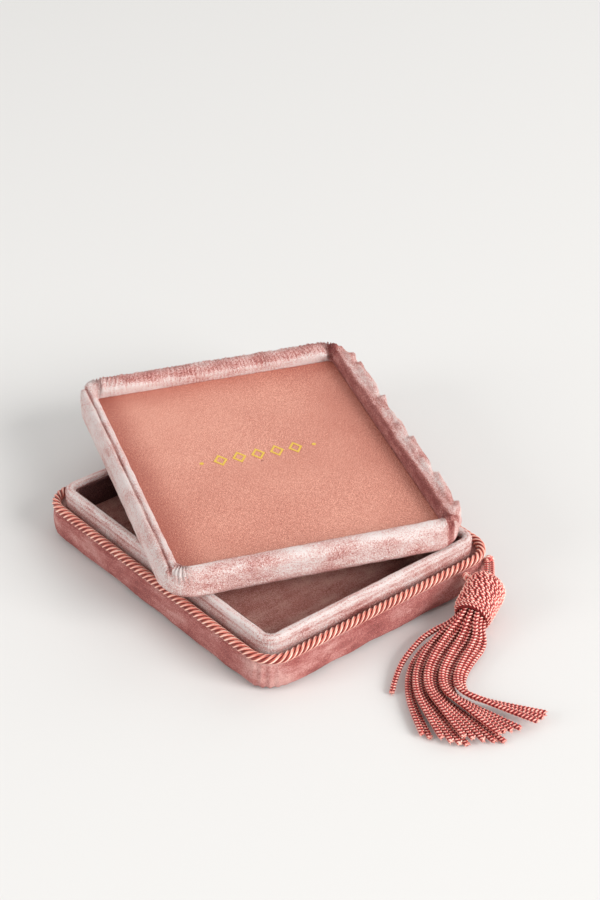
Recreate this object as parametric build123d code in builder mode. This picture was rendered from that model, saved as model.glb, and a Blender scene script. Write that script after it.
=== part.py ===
"""A shallow velvet box with a lift-off lid, a twisted trim cord and a tassel, in millimetres.

The origin is the centre of the underside, +Z is up and the front face looks along -Y.
The base stands square. The lid lies upside down and askew on the base's collar, its
lining up. The tassel hangs from the base's right front corner and lies on the table.
"""

from build123d import *
from math import cos, pi, radians, sin, sqrt, tan
import os

os.makedirs("parts", exist_ok=True)

# Base: every ring of it is an inset from the outer face of the padded wall.
BASE_HALF_X, BASE_HALF_Y = 46.4, 57.8
BASE_CORNER = 9.2
VELVET = 0.8
CLOTH, CLOTH_INSET = 0.4, 4.0
HEM_TOP, HEM_INSET = 1.0, 9.0
BASE_BOTTOM_BOARD = (HEM_TOP, 3.0)
BASE_WALL = (3.0, 9.2)
LEDGE_TOP = BASE_WALL[1] + VELVET
PADDING_INSET, BOARD_INSET, COLLAR_INSET = VELVET, 2.4, 4.1
# Rounding of the lower and upper edges of the foam and of the velvet over it.
INNER_ROUNDING = (1.4, 1.0)
OUTER_ROUNDING = (2.2, 1.6)

# Collar: the neck that the closed lid slides over.
COLLAR_TOP = 16.8
COLLAR_VELVET = 0.6
COLLAR_BOARD = 1.7
COLLAR_INNER_INSET = COLLAR_INSET + 2 * COLLAR_VELVET + COLLAR_BOARD
LINING_INSET = COLLAR_INNER_INSET + 0.05
LINING_CARD = 0.9
LINING_TOP = COLLAR_TOP - 1.2
FLOOR_INSET = LINING_INSET + LINING_CARD + 0.05

# Lid: heights run from its outer face, which lies down here, up to the rim.
LID_HALF_X, LID_HALF_Y = 48.2, 60.0
LID_CORNER = 11.0
# Inside the rim the velvet is drawn into tighter corners.
LID_INNER_CORNER = 7.8
LID_CENTRE = (12.3, 16.8)
LID_YAW = -21.7
LID_CLEARANCE = 0.3
LID_FOAM = (0.8, 2.4)
LID_BOARD = (2.4, 4.4)
LID_WALL_TOP = 9.0
LID_RIM = LID_WALL_TOP + VELVET
LID_BOARD_INSET, LID_INNER_SKIN_INSET, LID_OPENING_INSET = 2.4, 4.6, 5.3
LINING_STACK = (4.4, 5.0, 5.6)
ORNAMENT_HEIGHT, ORNAMENT_RISE = 0.06, 4.0
LOZENGE_PITCH = 6.4

# Trim cord round the ledge.
TRIM_DIAMETER = 3.0
TRIM_INSET = 0.8
TRIM_HEIGHT = LEDGE_TOP + TRIM_DIAMETER / 2 + 0.05

# Tassel: a head on an axis that slopes to the table, and strands of chain-knit cord.
HEAD_TOP = Vector(36.5, -65.5, 9.5)
HEAD_BOTTOM = Vector(21.5, -73.0, 5.9)
HEAD_AXIS = (HEAD_BOTTOM - HEAD_TOP).normalized()
HEAD_SIDE = Vector(0, 0, 1).cross(HEAD_AXIS).normalized()
HEAD_UP = HEAD_AXIS.cross(HEAD_SIDE)
HEAD_LENGTH = (HEAD_BOTTOM - HEAD_TOP).length
COVER_END = HEAD_LENGTH - 1.8
CORE_SPAN = (5.5, HEAD_LENGTH - 5.2)
NECK_RADIUS = 4.65
STRAND_DIAMETER = 1.65
STRAND_ROOT = 5.0

# The tack of thread that sews the tassel's loop to the corner, just below the trim cord.
# It is the centre of the tassel's two hinges.
TACK_CENTRE = Vector(43.9, -57.5, 9.0)
TACK_RADIUS = 1.5

# In the neck the strands lie in five rows, a row apart by a half pitch each way.
ROW_COUNTS = (3, 4, 5, 4, 3)
NECK_PITCH = 0.93
# Past the neck the bundle flattens on the table. Each place has the outer strands' two
# centres (left, right), the rise from row to row, and how far a row leans sideways.
FLOW = (
    ((9.8, -67.9), (18.3, -83.0), 1.08, 0.16),
    ((-0.7, -71.0), (9.0, -86.2), 1.02, 0.16),
    ((-9.0, -76.4), (1.8, -90.0), 1.08, 0.14),
    ((-15.4, -83.5), (-2.0, -95.4), 1.25, 0.10),
    ((-20.2, -90.6), (0.5, -102.3), 1.20, 0.10),
    ((-24.2, -97.5), (11.5, -117.5), 0.90, 0.10),
)
# The middle strands end further out than the outer ones.
END_BULGE = Vector(-5.0, -6.5)
# One outer strand strays from the bundle and ends short of it.
STRAY_STRAND = ((8.8, -66.9, 2.9), (-0.5, -69.6, 2.4), (-9.0, -73.4, 1.7), (-16.5, -79.4, 0.9))

lid_plane = Plane(
    origin=(*LID_CENTRE, COLLAR_TOP + LID_CLEARANCE),
    x_dir=(cos(radians(LID_YAW)), sin(radians(LID_YAW)), 0),
    z_dir=(0, 0, 1),
)
head_plane = Plane(origin=HEAD_TOP, x_dir=HEAD_UP, z_dir=HEAD_SIDE)


def save(part, name):
    part.label = name
    export_step(part, f"parts/{name}.step")
    print(f"{name:24s} {part.volume:10.1f} mm3")


def radii(points):
    """Bend radii of a limp cord's route: 0.45 of the shorter run over tan(half the turn)."""
    result = []
    for before, here, after in zip(points, points[1:], points[2:]):
        run_in, run_out = here - before, after - here
        half_turn = radians(run_in.get_angle(run_out)) / 2
        result.append(0.45 * min(run_in.length, run_out.length) / tan(half_turn))
    return result


def cord_tube(points, diameter):
    """Sweep a cord along straight runs joined by tangent arcs, in the open part."""
    with BuildLine():
        route = FilletPolyline(*points, radius=radii(points))
    with BuildSketch(Plane(origin=points[0], z_dir=points[1] - points[0])) as section:
        Circle(diameter / 2)
    sweep(section.sketch, path=route)
    return route.length


def base_outline(inset):
    """Draw the base's rounded rectangle, drawn in by inset, in the open sketch."""
    radius = max(BASE_CORNER - inset, 1.0)
    RectangleRounded(2 * (BASE_HALF_X - inset), 2 * (BASE_HALF_Y - inset), radius)


def lid_outline(inset):
    """Draw the lid's rounded rectangle, drawn in by inset, in the open sketch."""
    radius = max(LID_CORNER - inset, 1.0)
    RectangleRounded(2 * (LID_HALF_X - inset), 2 * (LID_HALF_Y - inset), radius)


def lid_inner_outline(inset):
    """The same outline inside the rim, where its corners are tighter."""
    radius = LID_INNER_CORNER - inset
    RectangleRounded(2 * (LID_HALF_X - inset), 2 * (LID_HALF_Y - inset), radius)


def slab(outline, plane, inset, low, high, mode=Mode.ADD):
    """Extrude an outline between two heights above a plane, in the open part."""
    with BuildSketch(plane.offset(low)) as profile:
        outline(inset)
    extrude(profile.sketch, amount=high - low, mode=mode)


def soft_block(outline, plane, inset, low, high, low_radius, high_radius):
    """A slab with rounded lower and upper edges, as a padded layer has them."""
    with BuildPart() as block:
        slab(outline, plane, inset, low, high)
        edges = block.part.edges().group_by(Axis.Z)
        fillet(edges[0], radius=low_radius)
        fillet(edges[-1], radius=high_radius)
    return block.part


# ---- Base ----------------------------------------------------------------------------

with BuildPart() as underside_cloth:
    slab(base_outline, Plane.XY, CLOTH_INSET, 0, CLOTH)
save(underside_cloth.part, "base_underside_cloth")

with BuildPart() as bottom_board:
    slab(base_outline, Plane.XY, BOARD_INSET, *BASE_BOTTOM_BOARD)
save(bottom_board.part, "base_bottom_board")

with BuildPart() as wall_frame:
    slab(base_outline, Plane.XY, BOARD_INSET, *BASE_WALL)
    slab(base_outline, Plane.XY, COLLAR_INSET - 0.1, *BASE_WALL, mode=Mode.SUBTRACT)
save(wall_frame.part, "base_wall_frame")

padded_base = soft_block(base_outline, Plane.XY, PADDING_INSET, HEM_TOP, BASE_WALL[1], *INNER_ROUNDING)

with BuildPart() as wall_padding:
    add(padded_base)
    slab(base_outline, Plane.XY, BOARD_INSET, 0, LEDGE_TOP, mode=Mode.SUBTRACT)
save(wall_padding.part, "base_wall_padding")

# The velvet turns under the board, runs up the padded wall and turns in over the ledge.
with BuildPart() as base_velvet:
    add(soft_block(base_outline, Plane.XY, 0, CLOTH, LEDGE_TOP, *OUTER_ROUNDING))
    add(padded_base, mode=Mode.SUBTRACT)
    slab(base_outline, Plane.XY, HEM_INSET, 0, HEM_TOP, mode=Mode.SUBTRACT)
    slab(base_outline, Plane.XY, COLLAR_INSET - 0.1, BASE_WALL[1], LEDGE_TOP, mode=Mode.SUBTRACT)
save(base_velvet.part, "base_velvet_wrap")

with BuildPart() as collar_frame:
    board_low = BASE_BOTTOM_BOARD[1]
    board_top = COLLAR_TOP - COLLAR_VELVET
    inset = COLLAR_INSET + COLLAR_VELVET
    slab(base_outline, Plane.XY, inset, board_low, board_top)
    slab(base_outline, Plane.XY, inset + COLLAR_BOARD, board_low, board_top, mode=Mode.SUBTRACT)
save(collar_frame.part, "collar_frame")

# The collar's velvet goes up its outer face, over the top and down inside.
with BuildPart() as collar_velvet:
    slab(base_outline, Plane.XY, COLLAR_INSET, board_low, COLLAR_TOP)
    slab(base_outline, Plane.XY, COLLAR_INNER_INSET, board_low, COLLAR_TOP, mode=Mode.SUBTRACT)
    fillet(collar_velvet.part.edges().group_by(Axis.Z)[-1], radius=0.5)
    with BuildSketch(Plane.XY.offset(board_low)):
        base_outline(inset)
        RectangleRounded(
            2 * (BASE_HALF_X - inset - COLLAR_BOARD),
            2 * (BASE_HALF_Y - inset - COLLAR_BOARD),
            BASE_CORNER - inset - COLLAR_BOARD,
            mode=Mode.SUBTRACT,
        )
    extrude(amount=board_top - board_low, mode=Mode.SUBTRACT)
save(collar_velvet.part, "collar_velvet_wrap")

with BuildPart() as wall_lining:
    slab(base_outline, Plane.XY, LINING_INSET, board_low, LINING_TOP)
    slab(base_outline, Plane.XY, LINING_INSET + LINING_CARD, board_low, LINING_TOP, mode=Mode.SUBTRACT)
save(wall_lining.part, "tray_wall_lining")

floor_layers = {
    "tray_floor_board": (3.0, 4.2),
    "tray_floor_foam": (4.2, 6.2),
    "tray_floor_velvet": (6.2, 7.0),
}
for layer_name, (low, high) in floor_layers.items():
    with BuildPart() as floor_layer:
        slab(base_outline, Plane.XY, FLOOR_INSET, low, high)
    save(floor_layer.part, layer_name)

# ---- Trim cord, held all the way round the ledge, with a whipped joint at the corner ---

with BuildPart() as trim_cord:
    trim_x, trim_y = BASE_HALF_X - TRIM_INSET, BASE_HALF_Y - TRIM_INSET
    half_round = [(0, -trim_y), (trim_x, -trim_y), (trim_x, trim_y), (0, trim_y)]
    corners = [(x, y, TRIM_HEIGHT) for x, y in half_round]
    with BuildLine():
        trim_route = FilletPolyline(*corners, radius=BASE_CORNER - TRIM_INSET)
    with BuildSketch(Plane(origin=trim_route @ 0, z_dir=trim_route % 0)) as trim_section:
        Circle(TRIM_DIAMETER / 2)
    sweep(trim_section.sketch, path=trim_route)
    mirror(about=Plane.YZ)
save(trim_cord.part, "trim_cord")
trim_length = 2 * trim_route.length
trim_area = pi * TRIM_DIAMETER**2 / 4
print(f"trim cord: length {trim_length:.1f}, volume / section {trim_cord.part.volume / trim_area:.1f}")

# ---- Lid -----------------------------------------------------------------------------

padded_lid = soft_block(lid_outline, lid_plane, VELVET, LID_FOAM[0], LID_WALL_TOP, *INNER_ROUNDING)

with BuildPart() as lid_velvet:
    add(soft_block(lid_outline, lid_plane, 0, 0, LID_RIM, *OUTER_ROUNDING))
    add(padded_lid, mode=Mode.SUBTRACT)
    slab(lid_inner_outline, lid_plane, LID_OPENING_INSET, LID_BOARD[1], LID_RIM, mode=Mode.SUBTRACT)
    skin_low = LINING_STACK[1] + 0.1
    with BuildSketch(lid_plane.offset(skin_low)):
        lid_inner_outline(LID_INNER_SKIN_INSET)
        RectangleRounded(
            2 * (LID_HALF_X - LID_OPENING_INSET),
            2 * (LID_HALF_Y - LID_OPENING_INSET),
            LID_INNER_CORNER - LID_OPENING_INSET,
            mode=Mode.SUBTRACT,
        )
    extrude(amount=LID_WALL_TOP - skin_low)
save(lid_velvet.part, "lid_velvet_wrap")

with BuildPart() as lid_foam:
    add(padded_lid)
    slab(lid_outline, lid_plane, -1.0, LID_FOAM[1], LID_RIM, mode=Mode.SUBTRACT)
save(lid_foam.part, "lid_top_padding")

with BuildPart() as lid_wall_foam:
    add(padded_lid)
    slab(lid_outline, lid_plane, -1.0, 0, LID_FOAM[1], mode=Mode.SUBTRACT)
    slab(lid_outline, lid_plane, LID_BOARD_INSET, LID_FOAM[1], LID_RIM, mode=Mode.SUBTRACT)
save(lid_wall_foam.part, "lid_wall_padding")

with BuildPart() as lid_board:
    slab(lid_outline, lid_plane, LID_BOARD_INSET, *LID_BOARD)
save(lid_board.part, "lid_top_board")

with BuildPart() as lid_frame:
    slab(lid_outline, lid_plane, LID_BOARD_INSET, LID_BOARD[1], LID_WALL_TOP)
    slab(lid_inner_outline, lid_plane, LID_INNER_SKIN_INSET, LID_BOARD[1], LID_WALL_TOP, mode=Mode.SUBTRACT)
save(lid_frame.part, "lid_wall_frame")

with BuildPart() as lining_card:
    slab(lid_inner_outline, lid_plane, LID_INNER_SKIN_INSET + 0.1, LINING_STACK[0], LINING_STACK[1])
save(lining_card.part, "lid_lining_card")

with BuildPart() as satin:
    slab(lid_inner_outline, lid_plane, LID_OPENING_INSET + 0.1, LINING_STACK[1], LINING_STACK[2])
save(satin.part, "lid_satin_lining")

# A plain foil ornament: a row of open lozenges between two dots, a little above the middle.
with BuildPart() as ornament:
    with BuildSketch(lid_plane.offset(LINING_STACK[2])):
        with Locations((0, ORNAMENT_RISE)):
            with GridLocations(LOZENGE_PITCH, 0, 5, 1):
                Polygon((-2.4, 0), (0, -3.4), (2.4, 0), (0, 3.4))
                Polygon((-1.5, 0), (0, -2.2), (1.5, 0), (0, 2.2), mode=Mode.SUBTRACT)
            with Locations((-3 * LOZENGE_PITCH, 0), (3 * LOZENGE_PITCH, 0)):
                Circle(0.7)
    extrude(amount=ORNAMENT_HEIGHT)
save(ornament.part, "lid_foil_ornament")

# ---- Tassel --------------------------------------------------------------------------

HEAD_LINE = Axis(HEAD_TOP, HEAD_AXIS)


def head_ring(inner, outer, low, high):
    """Revolve a ring about the head's axis, between two depths, in the open part."""
    with BuildSketch(head_plane) as section:
        with Locations(((inner + outer) / 2, (low + high) / 2)):
            Rectangle(outer - inner, high - low)
    revolve(section.sketch, axis=HEAD_LINE)


with BuildPart() as tack:
    with Locations(TACK_CENTRE):
        Sphere(TACK_RADIUS)
save(tack.part, "tassel_tack")

# The loop leaves the tack, folds inside the top of the head and comes back.
with BuildPart() as loop:
    to_head = (HEAD_TOP - TACK_CENTRE).normalized()
    leg_side = Vector(0, 0, 1).cross(to_head).normalized()
    leg_start = TACK_CENTRE + to_head * (TACK_RADIUS + 0.1)
    leg_gap, fold_gap, fold_depth = 0.95, 2.2, 4.95
    one_leg = [
        leg_start - leg_side * leg_gap,
        HEAD_TOP - HEAD_SIDE * leg_gap,
        HEAD_TOP + HEAD_AXIS * fold_depth - HEAD_SIDE * fold_gap,
    ]
    other_leg = [
        HEAD_TOP + HEAD_AXIS * fold_depth + HEAD_SIDE * fold_gap,
        HEAD_TOP + HEAD_SIDE * leg_gap,
        leg_start + leg_side * leg_gap,
    ]
    loop_length = cord_tube(one_leg + other_leg, STRAND_DIAMETER)
save(loop.part, "tassel_loop")
strand_area = pi * STRAND_DIAMETER**2 / 4
print(f"loop: length {loop_length:.1f}, volume / section {loop.part.volume / strand_area:.1f}")

with BuildPart() as head_cover:
    with BuildSketch(head_plane):
        with BuildLine():
            outer_side = Spline((2.8, 0), (5.6, 2.4), (6.5, 6.5), (6.4, 10.5), (5.9, COVER_END))
            inner_side = Spline((2.0, 0), (4.8, 2.9), (5.7, 6.7), (5.6, 10.3), (5.1, COVER_END))
            Line(outer_side @ 0, inner_side @ 0)
            Line(outer_side @ 1, inner_side @ 1)
        make_face()
    revolve(axis=HEAD_LINE)
save(head_cover.part, "tassel_head_cover")

with BuildPart() as head_core:
    head_ring(0, 5.0, CORE_SPAN[0] + 0.6, CORE_SPAN[1])
    fillet(head_core.part.edges(), radius=0.8)
save(head_core.part, "tassel_head_core")

with BuildPart() as neck_band:
    head_ring(NECK_RADIUS + 0.45, 6.0, COVER_END + 0.05, HEAD_LENGTH)
    fillet(neck_band.part.edges(), radius=0.4)
save(neck_band.part, "tassel_neck_band")

with BuildPart() as binding:
    head_ring(NECK_RADIUS, NECK_RADIUS + 0.4, HEAD_LENGTH - 3.4, HEAD_LENGTH)
save(binding.part, "tassel_binding")

with BuildPart() as cover_knot:
    with Locations(HEAD_TOP + HEAD_AXIS * 2.4 - HEAD_SIDE * 6.6 + HEAD_UP * 1.5):
        Sphere(1.1)
save(cover_knot.part, "tassel_cover_knot")


def neck_point(column, row, depth):
    """Centre of a strand in the neck, at a depth along the head's axis."""
    sideways, upward = column * NECK_PITCH, row * NECK_PITCH * sqrt(3)
    return HEAD_TOP + HEAD_AXIS * depth + HEAD_SIDE * sideways + HEAD_UP * upward


def strand_route(column, row):
    """Route of one strand: out of the neck, then along its lane of the bundle."""
    points = [neck_point(column, row, HEAD_LENGTH + reach) for reach in (-STRAND_ROOT, 1.5)]
    for left, right, rise, lean in FLOW:
        lane = (column + lean * row + 4) / 8
        x = left[0] + (right[0] - left[0]) * lane
        y = left[1] + (right[1] - left[1]) * lane
        points.append(Vector(x, y, STRAND_DIAMETER / 2 + 0.05 + (row + 2) * rise))
    trimmed = 0.92 + 0.10 * sin(2.4 * column + 1.7 * row)
    end = points[-2] + (points[-1] - points[-2]) * trimmed + END_BULGE * 4 * lane * (1 - lane)
    points[-1] = Vector(end.X, end.Y, points[-1].Z)
    return points


cells = [(2 * k - (n - 1), row - 2) for row, n in enumerate(ROW_COUNTS) for k in range(n)]
for number, (column, row) in enumerate(sorted(cells), start=1):
    points = strand_route(column, row)
    if (column, row) == (-4, 0):
        points = points[:2] + [Vector(*point) for point in STRAY_STRAND]
    with BuildPart() as strand:
        length = cord_tube(points, STRAND_DIAMETER)
    save(strand.part, f"tassel_strand_{number:02d}")
    bends = ", ".join(f"{radius:.1f}" for radius in radii(points))
    print(f"    length {length:.1f}, volume / section {strand.part.volume / strand_area:.1f}, radii {bends}")
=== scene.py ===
"""A rose velvet jewellery box, its lid lying askew on the base and a tassel at one corner.

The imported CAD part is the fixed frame. The velvet, satin, cords and tassel are built here in
metres in the same frame, and stand for the plain soft solids of the CAD part.
"""

import math

import bpy
import numpy as np
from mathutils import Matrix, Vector, noise


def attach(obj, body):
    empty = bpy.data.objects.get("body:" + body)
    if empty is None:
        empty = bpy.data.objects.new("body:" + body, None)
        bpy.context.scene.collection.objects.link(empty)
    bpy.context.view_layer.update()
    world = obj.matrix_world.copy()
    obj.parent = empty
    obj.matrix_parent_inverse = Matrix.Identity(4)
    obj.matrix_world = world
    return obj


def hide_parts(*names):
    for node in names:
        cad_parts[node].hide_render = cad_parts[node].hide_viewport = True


MM = 0.001

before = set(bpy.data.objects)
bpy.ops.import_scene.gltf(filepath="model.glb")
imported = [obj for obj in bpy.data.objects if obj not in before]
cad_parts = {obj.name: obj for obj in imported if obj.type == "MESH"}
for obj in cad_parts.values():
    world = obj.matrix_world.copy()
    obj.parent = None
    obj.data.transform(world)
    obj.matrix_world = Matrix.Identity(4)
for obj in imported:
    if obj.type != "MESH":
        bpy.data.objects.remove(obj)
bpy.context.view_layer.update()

# ---- Driving dimensions, in millimetres, as the CAD part has them ------------------------

BASE_HALF, BASE_CORNER = (46.4, 57.8), 9.2
LEDGE_TOP, LINING_TOP = 10.0, 15.6
LID_HALF, LID_CORNER = (48.2, 60.0), 11.0
LID_CENTRE, LID_YAW, LID_LOW = (12.3, 16.8), -21.7, 17.1
LID_RIM, LID_OPENING = 9.8, 5.3
SATIN_LOW, SATIN_TOP = 5.0, 5.6
TRIM_INSET, TRIM_RADIUS = 0.8, 1.5
TRIM_HEIGHT = LEDGE_TOP + TRIM_RADIUS + 0.05

HEAD_TOP = Vector((36.5, -65.5, 9.5))
HEAD_BOTTOM = Vector((21.5, -73.0, 5.9))
HEAD_LENGTH = (HEAD_BOTTOM - HEAD_TOP).length
HEAD_AXIS = (HEAD_BOTTOM - HEAD_TOP).normalized()
HEAD_SIDE = Vector((0, 0, 1)).cross(HEAD_AXIS).normalized()
HEAD_UP = HEAD_AXIS.cross(HEAD_SIDE)
COVER_END = HEAD_LENGTH - 1.8
STRAND_DIAMETER = 1.65
TACK_CENTRE = Vector((43.9, -57.5, 9.0))
TACK_RADIUS = 1.5

# ---- Camera ------------------------------------------------------------------------------

CAMERA_TARGET = Vector((33.5, 22.8, 15.0)) * MM
CAMERA_AZIMUTH, CAMERA_ELEVATION = math.radians(-39.8), math.radians(32.5)
CAMERA_DISTANCE = 0.705
CAMERA_LENS = 84.2


def add_camera():
    """The camera at the photograph's angle, with a long lens."""
    data = bpy.data.cameras.new("camera")
    data.sensor_width, data.lens = 36, CAMERA_LENS
    data.clip_start, data.clip_end = 0.01, 20
    camera = bpy.data.objects.new("camera", data)
    flat = math.cos(CAMERA_ELEVATION)
    back = Vector((
        math.sin(CAMERA_AZIMUTH) * flat,
        -math.cos(CAMERA_AZIMUTH) * flat,
        math.sin(CAMERA_ELEVATION),
    ))
    camera.location = CAMERA_TARGET + back * CAMERA_DISTANCE
    camera.rotation_mode = "QUATERNION"
    camera.rotation_quaternion = (-back).to_track_quat("-Z", "Y")
    bpy.context.scene.collection.objects.link(camera)
    bpy.context.scene.camera = camera


add_camera()

# ---- Node helpers ------------------------------------------------------------------------


class Nodes:
    """A material's node tree, with short calls to add and link nodes."""

    def __init__(self, name):
        self.material = bpy.data.materials.new(name)
        self.material.use_nodes = True
        self.tree = self.material.node_tree
        self.shader = self.tree.nodes["Principled BSDF"]

    def add(self, kind, **settings):
        node = self.tree.nodes.new(kind)
        for key, value in settings.items():
            if hasattr(node, key):
                setattr(node, key, value)
            else:
                node.inputs[key.replace("_", " ").title()].default_value = value
        return node

    def link(self, source, target):
        self.tree.links.new(source, target)

    def coordinates(self, output, scale=(1, 1, 1)):
        place = self.add("ShaderNodeMapping")
        place.inputs["Scale"].default_value = scale
        self.link(self.add("ShaderNodeTexCoord").outputs[output], place.inputs["Vector"])
        return place.outputs["Vector"]

    def noise(self, vector, scale, detail=3.0, roughness=0.55):
        node = self.add("ShaderNodeTexNoise", scale=scale, detail=detail, roughness=roughness)
        self.link(vector, node.inputs["Vector"])
        return node.outputs["Fac"]

    def ramp(self, value, stops):
        node = self.add("ShaderNodeValToRGB")
        elements = node.color_ramp.elements
        while len(elements) < len(stops):
            elements.new(0.5)
        for element, (position, colour) in zip(elements, stops):
            element.position = position
            element.color = (*colour, 1)
        self.link(value, node.inputs["Fac"])
        return node.outputs["Color"]

    def maths(self, operation, a, b):
        node = self.add("ShaderNodeMath", operation=operation)
        for value, socket in ((a, node.inputs[0]), (b, node.inputs[1])):
            if isinstance(value, bpy.types.NodeSocket):
                self.link(value, socket)
            else:
                socket.default_value = value
        return node.outputs[0]

    def total(self, base, *parts):
        """base plus each (value, weight) part's distance from a half."""
        for value, weight in parts:
            centred = self.maths("SUBTRACT", value, 0.5)
            base = self.maths("ADD", self.maths("MULTIPLY", centred, weight), base)
        return base

    def bump(self, height, distance, strength=1.0):
        node = self.add("ShaderNodeBump", strength=strength, distance=distance)
        self.link(height, node.inputs["Height"])
        self.link(node.outputs["Normal"], self.shader.inputs["Normal"])

    def set(self, **sockets):
        for name, value in sockets.items():
            self.shader.inputs[name.replace("_", " ").title()].default_value = value


def linear(r, g, b):
    """A colour given as 0-255 screen values, in Blender's linear numbers."""
    return tuple(((c / 255 + 0.055) / 1.055) ** 2.4 if c > 10 else c / 3295 for c in (r, g, b))


# ---- Materials ---------------------------------------------------------------------------

BLUSH, PALE = linear(214, 160, 153), linear(252, 242, 239)


def velvet(name, tones, lightness=0.5, crush=1.0, speckle=1.0):
    """Crushed pile: streaks along the cloth, blotches, and a sharp sparkle of fibre tips.

    The mesh's tone holds painted sheen and shade, and some streaks.
    """
    n = Nodes(name)
    along = n.coordinates("UV", (1, 3.5, 1))
    space = n.coordinates("Object")
    tone_and_painted_light = n.add("ShaderNodeAttribute", attribute_name="tone").outputs["Fac"]
    grain = n.noise(space, 2400, detail=3, roughness=0.7)
    tips = n.noise(space, 4600, detail=2, roughness=0.75)
    pile = n.total(
        n.maths("ADD", tone_and_painted_light, lightness),
        (n.noise(along, 60, detail=4, roughness=0.6), 0.8 * crush),
        (n.noise(space, 110, detail=3), 0.5 * crush),
        (grain, 1.1 * speckle),
        (tips, 1.3 * speckle),
    )
    n.link(n.ramp(pile, tones), n.shader.inputs["Base Color"])
    n.bump(n.maths("ADD", tips, grain), 0.0006, 0.9)
    n.set(roughness=0.8, sheen_weight=0.6, sheen_roughness=0.45)
    n.shader.inputs["Sheen Tint"].default_value = (*BLUSH, 1)
    n.shader.inputs["Specular IOR Level"].default_value = 0.2
    return n.material


SATIN_TONES = (
    (0.12, linear(160, 78, 62)),
    (0.5, linear(208, 127, 107)),
    (0.88, linear(250, 192, 170)),
)


def satin():
    """Smooth lining with a fine sandy grain and a soft sheen, shaded by the mesh's tone."""
    n = Nodes("satin")
    space = n.coordinates("Object")
    fine = n.noise(space, 5600, detail=2, roughness=0.75)
    slub = n.noise(n.coordinates("UV", (1, 0.3, 1)), 3000, detail=2)
    broad = n.noise(space, 26, detail=2)
    tone_and_painted_light = n.add("ShaderNodeAttribute", attribute_name="tone").outputs["Fac"]
    tone = n.total(n.maths("ADD", tone_and_painted_light, 0.5), (fine, 4.2), (slub, 0.8), (broad, 0.45))
    n.link(n.ramp(tone, SATIN_TONES), n.shader.inputs["Base Color"])
    n.bump(n.maths("ADD", fine, slub), 0.0002, 0.5)
    n.set(roughness=0.45, sheen_weight=0.2, sheen_roughness=0.4)
    n.shader.inputs["Sheen Tint"].default_value = (*linear(240, 190, 175), 1)
    return n.material


def yarn(name, shade, body, light):
    """Viscose cord: painted shade in the knit's gaps, painted highlight on crowns, fine filaments.
    """
    n = Nodes(name)
    crown_painted_light = n.add("ShaderNodeAttribute", attribute_name="tone").outputs["Fac"]
    space = n.coordinates("Object")
    filament = n.noise(space, 5200, detail=2, roughness=0.7)
    tone = n.total(n.maths("MULTIPLY", crown_painted_light, 0.9), (filament, 0.35), (n.noise(space, 300), 0.5))
    colours = n.ramp(tone, ((0.2, shade), (0.44, body), (0.8, light)))
    n.link(colours, n.shader.inputs["Base Color"])
    n.bump(filament, 0.0001, 0.5)
    n.set(roughness=0.42, sheen_weight=0.2, sheen_roughness=0.4)
    n.shader.inputs["Sheen Tint"].default_value = (*light, 1)
    return n.material


def plain(name, low, high, scale, depth, roughness=0.8, metallic=0.0):
    """A two-tone grained material, for board, foam, cloth, wood and foil."""
    n = Nodes(name)
    grain = n.noise(n.coordinates("Object"), scale, detail=4, roughness=0.65)
    n.link(n.ramp(grain, ((0.3, low), (0.7, high))), n.shader.inputs["Base Color"])
    n.bump(grain, depth, 0.6)
    n.set(roughness=roughness, metallic=metallic)
    return n.material


ROSE_TONES = (
    (0.2, linear(134, 62, 60)),
    (0.38, linear(194, 114, 107)),
    (0.55, linear(228, 174, 166)),
    (0.76, PALE),
)
TRAY_TONES = (
    (0.15, linear(118, 58, 52)),
    (0.5, linear(192, 108, 97)),
    (0.85, linear(240, 190, 176)),
)
# Painted shade: the same velvet made darker for the tray's inner walls.
PAINTED_SHADE_TONES = (
    (0.25, linear(50, 22, 22)),
    (0.55, linear(96, 46, 44)),
    (0.9, linear(190, 140, 134)),
)
WALL_TONES = (
    (0.15, linear(110, 46, 46)),
    (0.48, linear(188, 102, 97)),
    (0.85, linear(242, 194, 186)),
)

VELVET_LID = velvet("velvet_lid", ROSE_TONES, 0.61)
VELVET_COLLAR = velvet("velvet_collar", ROSE_TONES, 0.62)
VELVET_WALL = velvet("velvet_wall", WALL_TONES, 0.5, 1.15, 0.7)
VELVET_TRAY = velvet("velvet_tray", TRAY_TONES, 0.62, 0.8, 1.0)
VELVET_PAINTED_SHADE = velvet("velvet_dark", PAINTED_SHADE_TONES, 0.45)
SATIN = satin()
TRIM_YARN = yarn("trim_yarn", linear(128, 40, 34), linear(222, 122, 104), linear(255, 226, 208))
KNIT_YARN = yarn("knit_yarn", linear(112, 8, 14), linear(232, 90, 82), linear(255, 222, 206))
BOARD = plain("greyboard", linear(150, 140, 126), linear(188, 178, 162), 1400, 0.0001)
FOAM = plain("foam", linear(222, 216, 200), linear(244, 240, 228), 2600, 0.0003, 0.9)
CLOTH = plain("underside_cloth", linear(96, 46, 46), linear(132, 70, 68), 3000, 0.0001, 0.9)
FOIL = plain("foil", linear(232, 176, 48), linear(255, 228, 112), 1800, 0.00004, 0.35, 0.35)
WOOD = plain("turned_wood", linear(170, 128, 84), linear(206, 168, 120), 500, 0.0001, 0.6)

# ---- Mesh helpers ------------------------------------------------------------------------


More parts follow.
